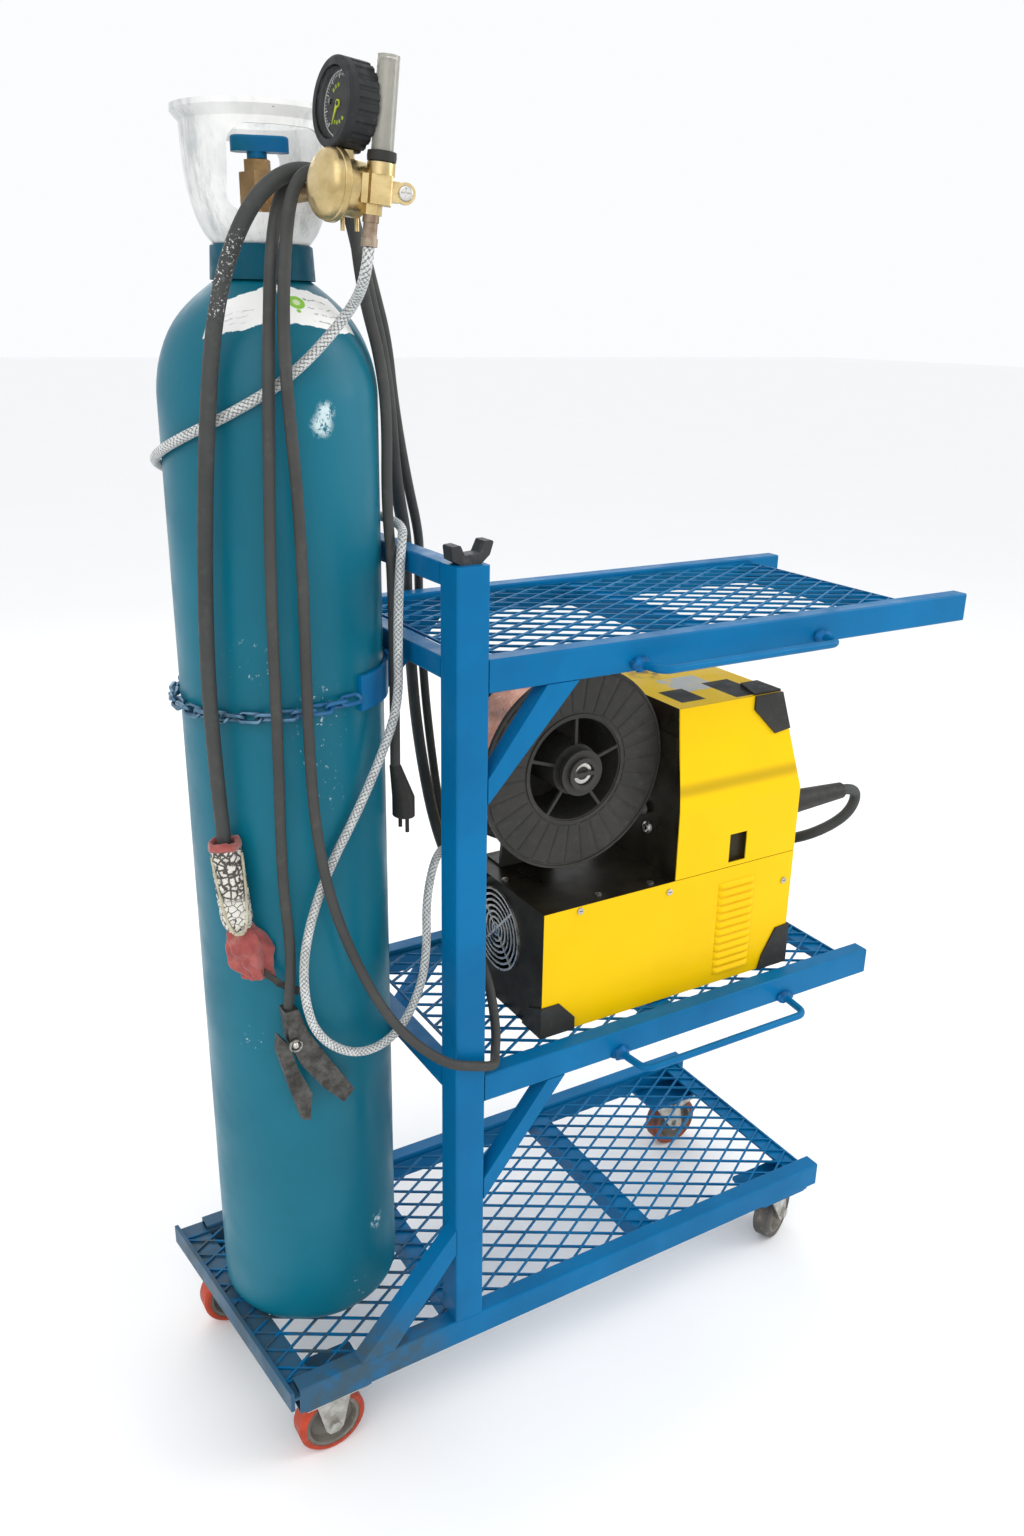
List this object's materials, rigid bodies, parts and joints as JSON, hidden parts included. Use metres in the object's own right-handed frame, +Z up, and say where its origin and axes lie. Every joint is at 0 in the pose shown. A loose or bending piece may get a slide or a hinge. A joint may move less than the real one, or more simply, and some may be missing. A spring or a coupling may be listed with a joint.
{
  "type": "welding cart",
  "caption": "Steel welding cart on casters with mesh shelves, a chained shielding-gas cylinder with regulator, and a wire-feed welder with its leads draped over.",
  "frame": {"origin": "on the floor, under the middle of the cart's bounding box without its leads", "axes": "+X along the cart away from the gas cylinder, +Y away from the side with the cable rods, +Z up"},
  "size_m": [1.066, 0.4495, 1.6013],
  "materials": {
    "frame_blue": "satin",
    "cylinder_teal": "satin, scuffed",
    "ring_blue": "satin",
    "guard_white": "worn satin",
    "brass": "dull",
    "handle_blue": "satin",
    "gauge_black": "matt",
    "needle_yellow": "matt",
    "clear_tube": "clear",
    "float_white": "satin",
    "steel": "galvanised",
    "wheel_dark": "satin",
    "tread_orange": "polyurethane",
    "tread_grey": "matt",
    "welder_black": "satin",
    "welder_yellow": "satin",
    "black_plastic": "satin",
    "copper": "bright drawn wire",
    "inner_grey": "machined",
    "cord_black": "matt",
    "hose_grey": "braided",
    "wrap_cloth": "worn cloth and braid",
    "cast_grey": "weathered"
  },
  "bodies": {
    "cart": {"long_rails": "frame_blue", "posts": "frame_blue", "shelf_frames": "frame_blue", "shelf_meshes": "frame_blue", "braces": "frame_blue", "cable_rods": "frame_blue", "cylinder_band": "frame_blue", "caster_plates": "steel", "left_forks": "steel", "cylinder_chain": "steel", "panel_screws": "steel", "fan_grille": "steel", "torch_cradle": "black_plastic", "corner_pads": "black_plastic", "front_panel": "black_plastic", "cable_fittings": "black_plastic", "spool_spindle": "black_plastic", "gas_cylinder": "cylinder_teal", "neck_ring": "ring_blue", "valve_guard": "guard_white", "valve_body": "brass", "inlet_stem": "brass", "regulator_body": "brass", "flow_block": "brass", "hose_tail": "brass", "pressure_gauge": "gauge_black", "flow_tube": "clear_tube", "welder_base": "welder_black", "welder_cover": "welder_black", "power_unit": "inner_grey", "feed_motor": "inner_grey", "torch_lead": "cord_black", "earth_lead": "cord_black", "mains_lead": "cord_black", "mains_plug": "cord_black", "gas_hose": "hose_grey", "torch_wrap": "wrap_cloth", "clamp_body": "cast_grey"},
    "near_left_caster": {"near_left_wheel": "wheel_dark", "near_left_tread": "tread_orange"},
    "far_left_caster": {"far_left_wheel": "wheel_dark", "far_left_tread": "tread_orange"},
    "near_right_swivel": {"near_right_fork": "steel"},
    "near_right_roller": {"near_right_wheel": "wheel_dark", "near_right_tread": "tread_grey"},
    "far_right_swivel": {"far_right_fork": "steel"},
    "far_right_roller": {"far_right_wheel": "wheel_dark", "far_right_tread": "tread_orange"},
    "pedal": {"brake_pedal": "steel"},
    "hand_valve": {"valve_handle": "handle_blue"},
    "needle": {"gauge_needle": "needle_yellow"},
    "float_ball": {"flow_float": "float_white"},
    "flow_knob": {"flow_screw": "brass"},
    "door": {"feeder_door": "welder_yellow", "door_pad": "black_plastic"},
    "cooling_fan": {"fan_rotor": "black_plastic"},
    "wire_reel": {"spool": "black_plastic", "spool_wire": "copper"},
    "knob": {"current_knob": "black_plastic"},
    "jaw": {"clamp_jaw": "cast_grey"}
  },
  "joints": [
    {"name": "near_left_spin", "type": "hinge", "parent": "cart", "child": "near_left_caster", "pos_m": [-0.432, -0.113, 0.045], "axis": [0, 1, 0], "continuous": true},
    {"name": "far_left_spin", "type": "hinge", "parent": "cart", "child": "far_left_caster", "pos_m": [-0.47, 0.16, 0.045], "axis": [0, 1, 0], "continuous": true},
    {"name": "near_right_turn", "type": "hinge", "parent": "cart", "child": "near_right_swivel", "pos_m": [0.321, -0.113, 0.095], "axis": [0, 0, 1], "continuous": true},
    {"name": "near_right_spin", "type": "hinge", "parent": "near_right_swivel", "child": "near_right_roller", "pos_m": [0.34275, -0.10286, 0.045], "axis": [-0.4226, 0.9063, 0], "continuous": true},
    {"name": "far_right_turn", "type": "hinge", "parent": "cart", "child": "far_right_swivel", "pos_m": [0.321, 0.168, 0.095], "axis": [0, 0, 1], "continuous": true},
    {"name": "far_right_spin", "type": "hinge", "parent": "far_right_swivel", "child": "far_right_roller", "pos_m": [0.345, 0.168, 0.045], "axis": [0, 1, 0], "continuous": true},
    {"name": "pedal_pivot", "type": "hinge", "parent": "far_right_swivel", "child": "pedal", "pos_m": [0.339, 0.168, 0.084], "axis": [0, 1, 0], "range_deg": [0, 12]},
    {"name": "valve_turn", "type": "hinge", "parent": "cart", "child": "hand_valve", "pos_m": [-0.386, 0.0485, 1.545], "axis": [0, 0, 1], "range_deg": [0, 720]},
    {"name": "needle_turn", "type": "hinge", "parent": "cart", "child": "needle", "pos_m": [-0.373, -0.143, 1.563], "axis": [-0.9919, -0.0854, 0.0941], "range_deg": [-270, 0], "stiffness_Nm_per_rad": 0.002},
    {"name": "float_rise", "type": "slide", "parent": "cart", "child": "float_ball", "axis": [0.0878, -0.0384, 0.9954], "range_m": [0, 0.06]},
    {"name": "flow_turn", "type": "hinge", "parent": "cart", "child": "flow_knob", "pos_m": [-0.3312, -0.17546, 1.4926], "axis": [-0.4003, -0.9164, 0], "range_deg": [0, 360]},
    {"name": "door_hinge", "type": "hinge", "parent": "cart", "child": "door", "pos_m": [0.195, -0.1085, 0.69], "axis": [1, 0, 0], "range_deg": [0, 95]},
    {"name": "fan_spin", "type": "hinge", "parent": "cart", "child": "cooling_fan", "pos_m": [-0.1, 0.0065, 0.62], "axis": [1, 0, 0], "continuous": true},
    {"name": "reel_spin", "type": "hinge", "parent": "cart", "child": "wire_reel", "pos_m": [-0.048, -0.0135, 0.859], "axis": [0, 1, 0], "continuous": true},
    {"name": "knob_turn", "type": "hinge", "parent": "cart", "child": "knob", "pos_m": [0.31, 0, 0.64], "axis": [1, 0, 0], "range_deg": [-135, 135]},
    {"name": "jaw_pivot", "type": "hinge", "parent": "cart", "child": "jaw", "pos_m": [-0.452, -0.08, 0.604], "axis": [0, 1, 0], "range_deg": [0, 20], "stiffness_Nm_per_rad": 0.6}
  ]
}
